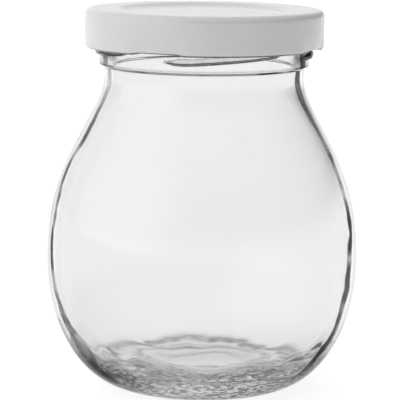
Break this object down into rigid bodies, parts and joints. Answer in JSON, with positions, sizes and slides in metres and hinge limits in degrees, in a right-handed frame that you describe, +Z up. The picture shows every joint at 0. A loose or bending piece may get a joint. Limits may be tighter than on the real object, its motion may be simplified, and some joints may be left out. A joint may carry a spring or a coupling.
{
  "type": "canning jar",
  "caption": "Round-bellied clear glass jar with a stamped steel twist-off lid that hooks on glass lug threads.",
  "frame": {"origin": "centre of the ring the jar stands on", "axes": "+Z up along the jar's axis, -Y towards the side seen from the front"},
  "size_m": [0.0864, 0.0864, 0.1052],
  "materials": {
    "glass": "clear, polished, faintly grey",
    "lid_lacquer": "white gloss lacquer",
    "seal": "smooth off-white sealing compound"
  },
  "bodies": {
    "root": {"glass_jar": "glass", "lid": "lid_lacquer", "seal_ring": "seal"}
  },
  "joints": []
}
